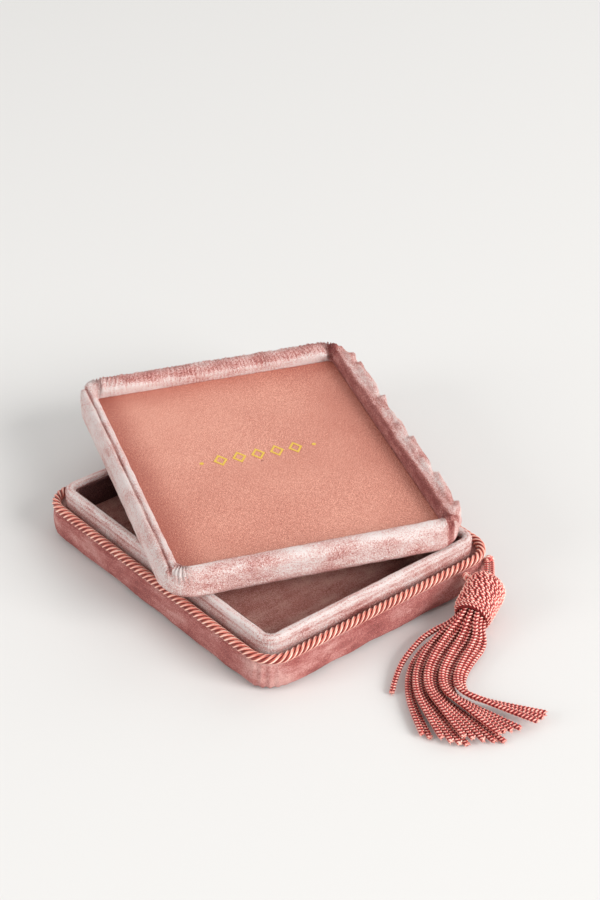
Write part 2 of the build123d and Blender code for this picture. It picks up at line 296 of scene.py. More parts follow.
def mesh_object(name, points, faces, material, uvs=None, tones=None):
    """A smooth mesh from points in millimetres, with optional UVs and tones."""
    mesh = bpy.data.meshes.new(name)
    mesh.from_pydata((np.asarray(points) * MM).tolist(), [], faces)
    mesh.polygons.foreach_set("use_smooth", [True] * len(mesh.polygons))
    if uvs is not None:
        layer = mesh.uv_layers.new(name="UVMap")
        loops = np.zeros(len(mesh.loops), int)
        mesh.loops.foreach_get("vertex_index", loops)
        layer.data.foreach_set("uv", (np.asarray(uvs)[loops] * MM).ravel())
    if tones is not None:
        attribute = mesh.attributes.new("tone", "FLOAT", "POINT")
        attribute.data.foreach_set("value", np.asarray(tones, float))
    mesh.materials.append(material)
    mesh.update()
    obj = bpy.data.objects.new(name, mesh)
    bpy.context.scene.collection.objects.link(obj)
    return obj


def wobble(points, size, amount, seed):
    """Smooth noise of about one unit, at points in millimetres."""
    offset = Vector((seed * 13.7, seed * 7.1, seed * 3.3))
    return amount * np.array([noise.noise(Vector(p) / size + offset) for p in points])


def smooth(value, low, high):
    """0 below low, 1 above high, and a smooth rise between."""
    t = np.clip((value - low) / (high - low), 0, 1)
    return t * t * (3 - 2 * t)


class Outline:
    """A rounded rectangle, drawn in by an inset, whose corners may tighten as it shrinks."""

    def __init__(self, half, corner, step, arc_steps, tighten=1.0):
        self.half, self.corner, self.tighten = np.array(half), corner, tighten
        quarters = ((1, -1), (1, 1), (-1, 1), (-1, -1))
        signs, normals, bends = [], [], []
        for number, here in enumerate(quarters):
            following = quarters[(number + 1) % 4]
            for k in range(arc_steps + 1):
                angle = math.pi / 2 * (number - 1 + k / arc_steps)
                signs.append(here)
                normals.append((math.cos(angle), math.sin(angle)))
                bends.append(math.sin(math.pi * k / arc_steps))
            side = 2 * (half[1 - number % 2] - corner)
            count = round(side / step)
            for k in range(1, count):
                signs.append([a + (b - a) * k / count for a, b in zip(here, following)])
                normals.append(normals[-1])
                bends.append(0.0)
        self.signs, self.normals, self.bends = map(np.array, (signs, normals, bends))
        edge = self.at(0)
        steps = np.linalg.norm(np.diff(np.vstack([edge, edge[:1]]), axis=0), axis=1)
        self.around = np.concatenate([[0], np.cumsum(steps)])

    def at(self, inset):
        radius = max(self.corner - self.tighten * inset, 0.4)
        return self.signs * (self.half - inset - radius) + self.normals * radius


def rounded_profile(corners, step=0.45):
    """A section's line through (inset, height, radius) corners, each rounded by its radius."""
    corners = [np.array(c, float) for c in corners]
    line = [corners[0][:2]]
    for before, here, after in zip(corners, corners[1:], corners[2:]):
        radius, here = here[2], here[:2]
        go_in = (before[:2] - here) / np.linalg.norm(before[:2] - here)
        go_out = (after[:2] - here) / np.linalg.norm(after[:2] - here)
        half = math.acos(np.clip(go_in @ go_out, -1, 1)) / 2
        reach = radius / math.tan(half)
        centre = here + (go_in + go_out) / np.linalg.norm(go_in + go_out) * radius / math.sin(half)
        a, b = here + go_in * reach - centre, here + go_out * reach - centre
        turn = math.pi - 2 * half
        count = max(2, int(radius * turn / step) + 2)
        for k in range(count + 1):
            t = k / count
            blend = math.sin((1 - t) * turn) * a + math.sin(t * turn) * b
            line.append(centre + blend / math.sin(turn))
    line.append(corners[-1][:2])
    dense = [line[0]]
    for a, b in zip(line, line[1:]):
        count = max(1, round(np.linalg.norm(b - a) / (2 * step)))
        dense += [a + (b - a) * k / count for k in range(1, count + 1)]
    return np.array(dense)


def turned(points, centre=(0, 0), yaw=0.0, low=0.0):
    """Points moved from a piece's own frame into the row frame."""
    c, s = math.cos(math.radians(yaw)), math.sin(math.radians(yaw))
    x = points[:, 0] * c - points[:, 1] * s + centre[0]
    y = points[:, 0] * s + points[:, 1] * c + centre[1]
    return np.column_stack([x, y, points[:, 2] + low])


def grid_faces(rows, columns, wrap_rows, wrap_columns):
    """Quads of a grid of points, row by row, that may close on itself either way."""
    faces = []
    for r in range(rows if wrap_rows else rows - 1):
        for c in range(columns if wrap_columns else columns - 1):
            r2, c2 = (r + 1) % rows, (c + 1) % columns
            faces.append((r * columns + c, r * columns + c2, r2 * columns + c2, r2 * columns + c))
    return faces


def wrapped_ring(
    name, outline, section, material, shape=None, tone_and_painted_light=None, place=None, inner_from=None
):
    """A skin lofted round an outline from a closed section of (inset, height) points.

    The section runs from inside over the top. shape moves the rows before inner_from along
    their outward direction, and the tone function gives the tones: painted sheen and shade.
    """
    rows, columns = len(section), len(outline.signs)
    rise = np.roll(section, -1, 0) - np.roll(section, 1, 0)
    length = np.maximum(np.linalg.norm(rise, axis=1), 1e-9)
    out_part, up_part = -rise[:, 1] / length, -rise[:, 0] / length
    travelled = np.concatenate([[0], np.cumsum(np.linalg.norm(np.diff(section, axis=0), axis=1))])
    points, uvs, pushes = [], [], []
    for row, (inset, height) in enumerate(section):
        flat = outline.at(inset)
        points.append(np.column_stack([flat, np.full(columns, height)]))
        uvs.append(np.column_stack([outline.around[:-1], np.full(columns, travelled[row])]))
        sideways = outline.normals * out_part[row]
        pushes.append(np.column_stack([sideways, np.full(columns, up_part[row])]))
    points, uvs, pushes = np.vstack(points), np.vstack(uvs), np.vstack(pushes)
    tones = None
    if shape is not None:
        visible = np.repeat(np.arange(rows) < (inner_from or rows), columns)
        bend = np.tile(outline.bends, rows)
        tones = tone_and_painted_light(points, uvs) if tone_and_painted_light else np.zeros(len(points))
        points = points + pushes * (shape(points, uvs, bend) * visible)[:, None]
    if place:
        points = turned(points, **place)
    faces = grid_faces(rows, columns, True, True)
    return mesh_object(name, points, faces, material, uvs, tones)


def to_path(points):
    """The smooth line of a cord: points in millimetres as a NURBS spline's control points."""
    curve = bpy.data.curves.new("route", "CURVE")
    curve.dimensions = "3D"
    curve.resolution_u = 24
    spline = curve.splines.new("NURBS")
    spline.points.add(len(points) - 1)
    for place, point in zip(spline.points, points):
        place.co = (*(Vector(point) * MM), 1)
    spline.order_u = 3
    spline.use_endpoint_u = True
    holder = bpy.data.objects.new("route", curve)
    line = bpy.data.meshes.new_from_object(holder)
    path = np.array([v.co for v in line.vertices]) / MM
    bpy.data.objects.remove(holder)
    bpy.data.meshes.remove(line)
    return path


def even(path, step, closed=False):
    """A line's points at even steps, and its length."""
    if closed:
        path = np.vstack([path, path[:1]])
    travelled = np.concatenate([[0], np.cumsum(np.linalg.norm(np.diff(path, axis=0), axis=1))])
    count = round(travelled[-1] / step)
    wanted = np.linspace(0, travelled[-1], count + 1)
    if closed:
        wanted = wanted[:-1]
    points = np.column_stack([np.interp(wanted, travelled, path[:, k]) for k in range(3)])
    return points, wanted, travelled[-1]


def carried_frames(points, first_side):
    """Sideways directions along a line, carried without twist from a first one."""
    ahead = np.gradient(points, axis=0)
    ahead /= np.linalg.norm(ahead, axis=1)[:, None]
    side = np.array(first_side, float)
    sides = []
    for direction in ahead:
        side = side - direction * (side @ direction)
        side /= np.linalg.norm(side)
        sides.append(side)
    sides = np.array(sides)
    return ahead, sides, np.cross(ahead, sides)


def tube(points, sides, ups, radius, crowns_painted_light, closed=False):
    """A tube round a line, its radius given for each ring and angle."""
    rings, around = radius.shape
    angles = np.linspace(0, 2 * np.pi, around, endpoint=False)
    ring = sides[:, None] * np.cos(angles)[:, None] + ups[:, None] * np.sin(angles)[:, None]
    body = points[:, None] + ring * radius[:, :, None]
    vertices = body.reshape(-1, 3)
    faces = grid_faces(rings, around, closed, True)
    crowns_painted_light = crowns_painted_light.ravel()
    if not closed:
        vertices = np.vstack([vertices, points[:1], points[-1:]])
        crowns_painted_light = np.append(crowns_painted_light, [0.5, 0.9])
        first, last, end = rings * around, rings * around + 1, (rings - 1) * around
        faces += [(first, (k + 1) % around, k) for k in range(around)]
        faces += [(last, end + k, end + (k + 1) % around) for k in range(around)]
    return vertices, faces, crowns_painted_light


def joined(name, parts, material):
    """One mesh object from several (points, faces, painted light) parts."""
    vertices, faces, crowns_painted_light, base = [], [], [], 0
    for part_vertices, part_faces, part_painted_light in parts:
        vertices.append(part_vertices)
        faces += [tuple(index + base for index in face) for face in part_faces]
        crowns_painted_light.append(part_painted_light)
        base += len(part_vertices)
    return mesh_object(name, np.vstack(vertices), faces, material, tones=np.concatenate(crowns_painted_light))


KNIT_PERIOD, KNIT_AROUND, KNIT_COLUMNS = 1.2, 16, 4


def chain_knit(travelled, radius, period=KNIT_PERIOD, relief=0.3, start=0.0):
    """Radius and crown of a chain-knit cord: columns of stitches that lean by turns."""
    angles = np.linspace(0, KNIT_COLUMNS, KNIT_AROUND, endpoint=False)
    column, across = np.floor(angles), angles % 1 - 0.5
    lean = np.where(column % 2 == 0, 1, -1)
    phase = travelled[:, None] / period + (lean * across * 0.8)[None] + start
    stitch = (0.5 + 0.5 * np.cos(2 * np.pi * phase)) ** 1.1
    # The crown sets the relief, and it is painted light: highlight on the stitches, shade in the
    # gaps.
    crown_painted_light = stitch * np.sqrt(np.cos(np.pi * across * 0.9)).clip(0)[None]
    return radius - relief + relief * crown_painted_light, crown_painted_light


def frayed_tip(end, ahead, side, up, radius, seed):
    """Short loose fibres where a cord is cut."""
    random = np.random.default_rng(seed)
    parts = []
    for _ in range(8):
        angle, reach = random.uniform(0, 2 * np.pi), random.uniform(0.2, 0.8) * radius
        root = end - ahead * 0.25 + (side * np.cos(angle) + up * np.sin(angle)) * reach
        spread = (side * np.cos(angle) + up * np.sin(angle)) * random.uniform(0.1, 0.5)
        tip = root + (ahead + spread) * random.uniform(0.45, 0.9)
        tip[2] = max(tip[2], 0.12)
        line = root + (tip - root) * np.linspace(0, 1, 4)[:, None]
        _, sides, ups = carried_frames(line, side + 0.3 * up)
        thickness = np.outer(np.linspace(0.16, 0.05, 4), np.ones(5))
        parts.append(tube(line, sides, ups, thickness, np.full((4, 5), 0.7)))
    return parts


PLIES, PLY_RADIUS, PLY_CENTRE, PLY_LAY = 4, 0.72, 0.8, 8.6


def plied(points, ahead, sides, ups, travelled, length):
    """Twisted plies round a closed line, each a tube with fine filaments of its own."""
    turns = round(length / PLY_LAY)
    parts = []
    for ply in range(PLIES):
        angle = 2 * np.pi * (turns * travelled / length + ply / PLIES)
        out = sides * np.cos(angle)[:, None] + ups * np.sin(angle)[:, None]
        line = points + out * PLY_CENTRE
        around = np.linspace(0, 2 * np.pi, 14, endpoint=False)
        filament = np.cos(5 * around[None] - 3 * angle[:, None])
        radius = PLY_RADIUS * (0.96 + 0.07 * filament)
        across = np.cross(ahead, out)
        outward = np.cos(around)[None] * np.ones_like(angle)[:, None]
        # Painted highlight on each ply's outward side, painted shade towards the gaps, with
        # filament stripes.
        crown_painted_light = (0.58 * outward.clip(0) ** 3 + 0.18 + 0.2 * filament).clip(0, 1)
        parts.append(tube(line, out, across, radius, crown_painted_light, True))
    return parts


# ---- Tassel strands and loop, the free cords ---------------------------------------------

ROW_COUNTS = (3, 4, 5, 4, 3)
NECK_PITCH = 0.93
STRAND_ROOT = 5.0
FLOW = (
    ((9.8, -67.9), (18.3, -83.0), 1.05, 0.25),
    ((-0.7, -71.0), (9.0, -86.2), 0.95, 0.50),
    ((-9.0, -76.4), (1.8, -90.0), 0.90, 0.50),
    ((-15.4, -83.5), (-2.0, -95.4), 0.90, 0.50),
    ((-20.2, -90.6), (0.5, -102.3), 0.90, 0.50),
    ((-24.2, -97.5), (11.5, -117.5), 0.60, 0.50),
)
END_BULGE = Vector((-5.0, -6.5, 0))
STRAY_STRAND = ((8.8, -66.9, 2.9), (-0.5, -69.6, 2.4), (-9.0, -73.4, 1.7), (-16.5, -79.4, 0.9))


def neck_point(column, row, depth):
    """Centre of a strand in the neck, at a depth along the head's axis."""
    sideways, upward = column * NECK_PITCH, row * NECK_PITCH * math.sqrt(3)
    return HEAD_TOP + HEAD_AXIS * depth + HEAD_SIDE * sideways + HEAD_UP * upward


def strand_route(column, row):
    """Route of one strand: out of the neck, then along its lane of the bundle."""
    points = [neck_point(column, row, HEAD_LENGTH + reach) for reach in (-STRAND_ROOT, 1.5)]
    for left, right, rise, lean in FLOW:
        lane = (column + lean * row + 4) / 8
        x = left[0] + (right[0] - left[0]) * lane
        y = left[1] + (right[1] - left[1]) * lane
        points.append(Vector((x, y, STRAND_DIAMETER / 2 + 0.05 + (row + 2) * rise)))
    trimmed = 0.92 + 0.10 * math.sin(2.4 * column + 1.7 * row)
    end = points[-2] + (points[-1] - points[-2]) * trimmed + END_BULGE * 4 * lane * (1 - lane)
    points[-1] = Vector((end.x, end.y, points[-1].z))
    return points


def knit_cord(name, route, far_end, seed):
    """A chain-knit cord along its route."""
    path = to_path(route)
    points, travelled, length = even(path, 0.11)
    ahead, sides, ups = carried_frames(points, HEAD_UP)
    radius, crown_painted_light = chain_knit(travelled, STRAND_DIAMETER / 2 + 0.15, start=0.37 * seed)
    parts = [tube(points, sides, ups, radius, crown_painted_light)]
    if far_end == "bare":
        parts += frayed_tip(points[-1], ahead[-1], sides[-1], ups[-1], STRAND_DIAMETER / 2, seed)
    cord = joined(name, parts, KNIT_YARN)
    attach(cord, "tassel")
    return cord


cells = [(2 * k - (n - 1), row - 2) for row, n in enumerate(ROW_COUNTS) for k in range(n)]
for number, (column, row) in enumerate(sorted(cells), start=1):
    route = strand_route(column, row)
    if (column, row) == (-4, 0):
        route = route[:2] + [Vector(point) for point in STRAY_STRAND]
    strand = knit_cord(f"strand_{number:02d}", route, "bare", number)
    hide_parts(f"tassel_strand_{number:02d}")

to_head = (HEAD_TOP - TACK_CENTRE).normalized()
leg_side = Vector((0, 0, 1)).cross(to_head).normalized()
leg_start = TACK_CENTRE + to_head * (TACK_RADIUS + 0.1)
LEG_GAP, FOLD_GAP, FOLD_DEPTH = 0.84, 2.2, 4.95
loop_route = [
    leg_start - leg_side * LEG_GAP,
    HEAD_TOP - HEAD_SIDE * LEG_GAP,
    HEAD_TOP + HEAD_AXIS * FOLD_DEPTH - HEAD_SIDE * FOLD_GAP,
    HEAD_TOP + HEAD_AXIS * FOLD_DEPTH + HEAD_SIDE * FOLD_GAP,
    HEAD_TOP + HEAD_SIDE * LEG_GAP,
    leg_start + leg_side * LEG_GAP,
]
loop = knit_cord("hanging_loop", loop_route, "object", 40)
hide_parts("tassel_loop")

# ---- Tassel head -------------------------------------------------------------------------

HEAD_PROFILE = ((2.8, 0.0), (5.6, 2.4), (6.5, 6.5), (6.4, 10.5), (5.9, COVER_END))


def head_frame(points):
    """Points (across, up, depth) about the head's axis, in the row frame."""
    points = np.asarray(points)
    return (
        np.array(HEAD_TOP)
        + points[:, :1] * np.array(HEAD_SIDE)
        + points[:, 1:2] * np.array(HEAD_UP)
        + points[:, 2:3] * np.array(HEAD_AXIS)
    )


def head_net():
    """The knotted net over the head: rows of leaning stitches on a rounded skin."""
    depths, radii = [p[1] for p in HEAD_PROFILE], [p[0] for p in HEAD_PROFILE]
    rows, columns = 120, 260
    depth = np.linspace(0, COVER_END, rows)
    fit = np.polyfit(depths, radii, 4)
    radius = np.polyval(fit, depth)
    angle = np.linspace(0, 2 * np.pi, columns, endpoint=False)
    stitch_rows, stitches = 19, 26
    down = depth[:, None] / COVER_END * stitch_rows
    row = np.floor(down)
    turn = angle[None] / (2 * np.pi) * stitches + 0.5 * (row % 2) + 0.35 * (down - row)
    turn = turn + 0.22 * np.sin(5 * angle[None] + 1.9 * row) + 0.15 * np.sin(9 * angle[None] - row)
    inside = (0.5 - 0.5 * np.cos(2 * np.pi * turn)) ** 0.7 * np.sin(np.pi * (down - row)) ** 0.6
    drape = 0.22 * np.cos(3 * angle[None] + 0.25 * depth[:, None])
    skin = radius[:, None] - 0.5 + 0.62 * inside + drape
    outer = np.stack([skin * np.cos(angle), skin * np.sin(angle), depth[:, None] + 0 * skin], 2)
    shell = (radius - 1.0)[::-1, None] + 0 * angle[None]
    inside_depth = depth[::-1, None] + 0 * shell
    inner = np.stack([shell * np.cos(angle), shell * np.sin(angle), inside_depth], 2)
    points = np.vstack([outer.reshape(-1, 3), inner.reshape(-1, 3)])
    # The stitches' crowns are painted light; the inner shell is painted all in shade.
    crowns_painted_light = np.concatenate([inside.ravel(), np.zeros(inside.size)])
    return head_frame(points), grid_faces(2 * rows, columns, True, True), crowns_painted_light


cover = joined("head_net", [head_net()], KNIT_YARN)
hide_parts("tassel_head_cover")
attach(cover, "tassel")


def ring_frames(line, axis):
    """Directions ahead, outward and across along a closed ring round an axis."""
    ahead = np.roll(line, -1, 0) - np.roll(line, 1, 0)
    ahead /= np.linalg.norm(ahead, axis=1)[:, None]
    outward = np.cross(ahead, axis)
    outward /= np.linalg.norm(outward, axis=1)[:, None]
    return ahead, outward, np.cross(ahead, outward)


def neck_turn(depth, ring_radius, tilt, radius):
    """One turn of knit cord tied round the neck, tilted a little."""
    angle = np.linspace(0, 2 * np.pi, 360, endpoint=False)
    flat = np.column_stack([
        ring_radius * np.cos(angle),
        ring_radius * np.sin(angle),
        depth + tilt * np.cos(angle + 0.6),
    ])
    points, travelled, length = even(head_frame(flat), 0.1, closed=True)
    _, outward, across = ring_frames(points, np.array(HEAD_AXIS))
    period = length / round(length / KNIT_PERIOD)
    rings, crown_painted_light = chain_knit(travelled, radius, period)
    return tube(points, outward, across, rings, crown_painted_light, True)


turns = [neck_turn(COVER_END - 0.1, 5.35, 0.3, 0.75), neck_turn(COVER_END + 1.0, 5.15, 0.35, 0.72)]
band = joined("neck_band_cord", turns, KNIT_YARN)
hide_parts("tassel_neck_band")
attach(band, "tassel")


def wound_knot(name, centre, radius, seed):
    """A small ball of thread: loops wound round a point in several directions."""
    random = np.random.default_rng(seed)
    parts = []
    for turn in range(11):
        axis = random.normal(size=3)
        axis /= np.linalg.norm(axis)
        side = np.cross(axis, (0.3, 0.5, 0.8))
        side /= np.linalg.norm(side)
        up = np.cross(axis, side)
        angle = np.linspace(0, 2 * np.pi, 40, endpoint=False)
        reach = radius * (0.84 + 0.05 * np.cos(3 * angle + turn))
        line = centre + (np.cos(angle) * reach)[:, None] * side
        line = line + (np.sin(angle) * reach)[:, None] * up
        _, outward, across = ring_frames(line, axis)
        thickness = np.full((40, 8), radius * 0.24)
        crown_painted_light = np.full((40, 8), 0.35 + 0.06 * turn)
        parts.append(tube(line, outward, across, thickness, crown_painted_light, True))
    return joined(name, parts, KNIT_YARN)


knot_centre = np.array(HEAD_TOP + HEAD_AXIS * 2.4 - HEAD_SIDE * 6.6 + HEAD_UP * 1.5)
knot = wound_knot("cover_knot_thread", knot_centre, 1.25, 5)
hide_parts("tassel_cover_knot")
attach(knot, "tassel")

tack = wound_knot("corner_tack_thread", np.array(TACK_CENTRE), TACK_RADIUS, 8)
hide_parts("tassel_tack")
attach(tack, "tassel_tack")

# ---- Trim cord round the ledge -----------------------------------------------------------

BASE = Outline(BASE_HALF, BASE_CORNER, step=0.5, arc_steps=28)
INSIDE_STEP, EDGE_STEP = 0.9, 0.2


def trim_cord():
    """Plies twisted together, laid once round the ledge."""
    flat = BASE.at(TRIM_INSET)
    line = np.column_stack([flat, np.full(len(flat), TRIM_HEIGHT)])
    points, travelled, length = even(line, 0.22, closed=True)
    ahead, outward, inward_up = ring_frames(points, np.array((0, 0, 1)))
    parts = plied(points, ahead, outward, -inward_up, travelled, length)
    return joined("trim_cord_plies", parts, TRIM_YARN)


trim = trim_cord()
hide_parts("trim_cord")
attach(trim, "base")

# ---- Base --------------------------------------------------------------------------------


def fuzz(points, amount, seed):
    """Fine unevenness of a pile."""
    return wobble(points, 1.1, amount, seed) + wobble(points, 4.5, 2 * amount, seed + 1)


def wall_shape(points, uvs, bend):
    """The padded wall: a soft bulge, slack waves low down and gathers at the corners."""
    height = points[:, 2]
    bulge = 0.35 * np.sin(np.pi * np.clip(height / LEDGE_TOP, 0, 1))
    waves = wobble(np.column_stack([uvs[:, 0], height * 2, 0 * height]), 9.0, 0.55, 3)
    waves *= np.clip(1.3 - height / 7, 0, 1)
    gathers = 0.25 * bend * np.sin(uvs[:, 0] * 2.4)
    return bulge + waves * 0.8 + gathers + fuzz(points, 0.05, 11)


def wall_painted_sheen(points, uvs):
    """Painted sheen: paler on the ledge's top and round the front left corner. Darker low down on
    the wall.
    """
    x, y, height = points.T
    corner = np.exp(-((x + BASE_HALF[0]) ** 2 + (y + BASE_HALF[1]) ** 2) / 14**2)
    return 0.3 * smooth(height, 9.3, 9.95) - 0.1 * (1 - smooth(height, 1, 6)) + 0.2 * corner


LEDGE_END, HEM_END, HEM_LOW = 4.05, 9.0, 0.42
base_outside = rounded_profile([
    (LEDGE_END, LEDGE_TOP, 0),
    (0, LEDGE_TOP, 1.6),
    (0, HEM_LOW, 2.2),
    (HEM_END, HEM_LOW, 0),
])
base_inside = rounded_profile(
    [(HEM_END, 0.96, 0), (0.78, 0.96, 1.2), (0.78, 9.24, 0.9), (LEDGE_END, 9.24, 0)], INSIDE_STEP
)
base_wrap = wrapped_ring(
    "base_velvet",
    BASE,
    np.vstack([base_outside, base_inside]),
    VELVET_WALL,
    wall_shape,
    wall_painted_sheen,
    inner_from=len(base_outside),
)


COLLAR_CREASE = 14.3


def collar_shape(points, uvs, bend):
    """The collar's velvet: full over the board, with a fine crease along its outside."""
    outward = np.clip((points[:, 2] - 12) / 4, 0, 1)
    crease = -0.35 * np.exp(-((points[:, 2] - COLLAR_CREASE) / 0.3) ** 2)
    gathers = 0.16 * bend * np.sin(uvs[:, 0] * 4.2)
    return 0.1 * outward + crease + gathers + fuzz(points, 0.05, 23)


def collar_painted_sheen_and_shade(points, uvs):
    """Painted sheen on the collar's top, painted shade in its crease, rosier low down on its
    outside.
    """
    height = points[:, 2]
    strip = np.column_stack([uvs, 0 * height])
    streak = 0.1 * np.sin(4.5 * uvs[:, 1] + wobble(strip, 12, 3.0, 27))
    crease = -0.3 * np.exp(-((height - COLLAR_CREASE) / 0.3) ** 2)
    return streak + crease + 0.1 * smooth(height, 14.5, 16.5) - 0.12 * (1 - smooth(height, 11, 14))


TRAY_LOW = 3.1
collar_outside = rounded_profile([
    (7.0, TRAY_LOW, 0),
    (7.0, 16.85, 1.2),
    (4.0, 16.85, 1.3),
    (4.0, 9.5, 0),
])
collar_inside = rounded_profile(
    [(4.66, 9.5, 0), (4.66, 16.15, 0.5), (6.45, 16.15, 0.5), (6.45, TRAY_LOW, 0)], INSIDE_STEP
)
collar_wrap = wrapped_ring(
    "collar_velvet",
    BASE,
    np.vstack([collar_outside, collar_inside]),
    VELVET_COLLAR,
    collar_shape,
    collar_painted_sheen_and_shade,
    inner_from=len(collar_outside),
)

lining_line = [
    (7.95, TRAY_LOW, 0),
    (7.95, LINING_TOP, 0.4),
    (7.06, LINING_TOP, 0.3),
    (7.06, TRAY_LOW, 0),
]
# The tray's inner walls use the velvet painted in shade.
lining = wrapped_ring(
    "tray_wall_velvet",
    BASE,
    rounded_profile(lining_line),
    VELVET_PAINTED_SHADE,
    lambda points, uvs, bend: fuzz(points, 0.03, 31),
)


def disc(name, outline, line, material, shape=None, place=None, tone_and_painted_light=None, rings=60):
    """A closed skin with two faces, from an edge line that runs from one face to the other."""
    scales = np.linspace(0.004, 1, rings)
    start, end = line[0], line[-1]
    rows = [(start[0], start[1], s) for s in scales[:-1]]
    rows += [(inset, height, 1.0) for inset, height in line]
    rows += [(end[0], end[1], s) for s in scales[-2::-1]]
    columns = len(outline.signs)
    points, uvs, tops = [], [], []
    for inset, height, scale in rows:
        flat = outline.at(inset) * scale
        points.append(np.column_stack([flat, np.full(columns, height)]))
        uvs.append(flat)
        tops.append(np.full(columns, 1.0 if height >= (start[1] + end[1]) / 2 else 0.0))
    points, uvs, tops = np.vstack(points), np.vstack(uvs), np.concatenate(tops)
    if shape is not None:
        points[:, 2] += shape(points, uvs) * tops
    tones = tone_and_painted_light(points) if tone_and_painted_light else None
    if place:
        points = turned(points, **place)
    faces = grid_faces(len(rows), columns, True, True)
    return mesh_object(name, points, faces, material, uvs, tones)


floor_velvet = disc(
    "tray_floor_pile",
    BASE,
    rounded_profile(
        [(8.1, 6.22, 0), (8.02, 6.22, 0.05), (8.02, 6.98, 0.3), (9.5, 6.98, 0)], EDGE_STEP
    ),
    VELVET_TRAY,
    lambda points, uvs: wobble(points, 14, 0.12, 41) + wobble(points, 1.2, 0.05, 42),
)

underside = disc(
    "underside_weave",
    BASE,
    rounded_profile(
        [(4.6, 0.02, 0), (LEDGE_END, 0.02, 0.1), (LEDGE_END, 0.38, 0.1), (5.0, 0.38, 0)], EDGE_STEP
    ),
    CLOTH,
)

# ---- Lid ---------------------------------------------------------------------------------

OPENING_CORNER = 2.5
LID_TIGHTEN = (LID_CORNER - OPENING_CORNER) / LID_OPENING
LID = Outline(LID_HALF, LID_CORNER, step=0.5, arc_steps=44, tighten=LID_TIGHTEN)
LID_PLACE = {"centre": LID_CENTRE, "yaw": LID_YAW, "low": LID_LOW}


def lid_sides(points):
    """How far a point belongs to the lid's left, right, near and far sides."""
    x, y = points[:, 0], points[:, 1]
    return smooth(-x, 41, 43.5), smooth(x, 41, 43.5), smooth(-y, 53, 55.5), smooth(y, 53, 55.5)


def lid_strip(points, uvs):
    """Points for noise that runs along the lid's rim."""
    return np.column_stack([uvs[:, 0], uvs[:, 1] * 1.5, 0 * points[:, 2]])


def left_crease(points, strip, width):
    """1 along the wandering crease on the lid's left side, and 0 away from it."""
    crease_at = 3.0 + 0.45 * wobble(strip, 11, 1.0, 55)
    return np.exp(-((LID_HALF[0] + points[:, 0] - crease_at) / width) ** 2)


def pleat_wave(along, strip):
    """The fine pleats across the lid's far side."""
    return np.sin(along * 4.7 + wobble(strip, 4, 3.5, 63))


def lid_shape(points, uvs, bend):
    """The lid's padded rim: creases along it, gathers at corners, slack folds at one side."""
    x, y, height = points.T
    along, across = uvs.T
    left, right, near, far = lid_sides(points)
    upper = smooth(height, 5.5, 8.5)
    strip = lid_strip(points, uvs)
    roll = 0.4 * upper + 0.3 * smooth(height, 0.5, 3) * (1 - upper)
    crease = -1.0 * left * upper * left_crease(points, strip, 0.35)
    gathers = 0.46 * bend * upper * np.sin(along * 4.4 + 0.8 * np.sin(across))
    middle = 1 - smooth(np.abs(y), 47, 57)
    lump = (along / 21 + 0.25 * np.sin(1.1 * across) + 1.1 * wobble(strip, 15, 1.0, 57)) % 1
    folds = 0.42 * np.sin(3.6 * across + 3 * wobble(strip, 9, 1.0, 61))
    outer_face = smooth(x, 45, 47.5) * smooth(height, 1.5, 5)
    bunch = smooth(lump, 0, 0.8) * (1 - smooth(lump, 0.84, 1))
    slack = middle * outer_face * (0.3 + 1.4 * bunch + folds)
    depth = 0.2 + wobble(strip, 8, 0.25, 67)
    pleats = far * upper * (0.9 + depth * pleat_wave(along, strip))
    ragged = far * upper * wobble(strip, 1.6, 0.35, 65)
    return roll + crease + gathers + slack + pleats + ragged + fuzz(points, 0.07, 51)


def lid_painted_sheen_and_shade(points, uvs):
    """Painted sheen and shade on the lid's velvet, by side and face, with streaks on the right."""
    x, y, height = points.T
    left, right, near, far = lid_sides(points)
    top = smooth(height, 8.2, 9.3)
    inner_face = smooth(LID_HALF[1] - 4.4 - np.abs(y), -0.3, 0.3)
    along, across = uvs.T
    strip = lid_strip(points, uvs)
    # Painted shadow lines along the right and near inner faces and in the left crease, and painted
    # shade low down.
    right_inner = smooth(x, 41, 42.5) * (1 - smooth(x, 43.6, 44.8))
    tone = -0.13 * far * top + 0.16 * far * (1 - top) * (1 - smooth(y, 55.5, 57))
    tone = tone + 0.12 * left + 0.06 * near * top - 0.04 * right * top - 0.34 * right_inner
    tone = tone - 0.3 * near * inner_face * smooth(height, 6, 9)
    tone = tone + 0.08 * far * pleat_wave(along, strip)
    drawn_out = np.column_stack([along / 6, across * 1.6, 0 * height])
    tone = tone + 0.14 * right * wobble(drawn_out, 1.4, 1.0, 61)
    tone = tone - 0.3 * left * top * left_crease(points, strip, 0.4)
    return tone - 0.1 * (1 - smooth(height, 1, 5))


FACE_INSET, TURN_IN = 13, 5.2
lid_outside = rounded_profile([
    (LID_OPENING, TURN_IN, 0),
    (LID_OPENING, LID_RIM, 1.9),
    (0, LID_RIM, 2.9),
    (0, 0, 2.9),
    (FACE_INSET, 0, 0),
])
lid_inside = rounded_profile(
    [
        (FACE_INSET, 0.76, 0),
        (0.78, 0.76, 1.2),
        (0.78, 9.04, 0.9),
        (4.55, 9.04, 0.3),
        (4.55, TURN_IN, 0),
    ],
    INSIDE_STEP,
)


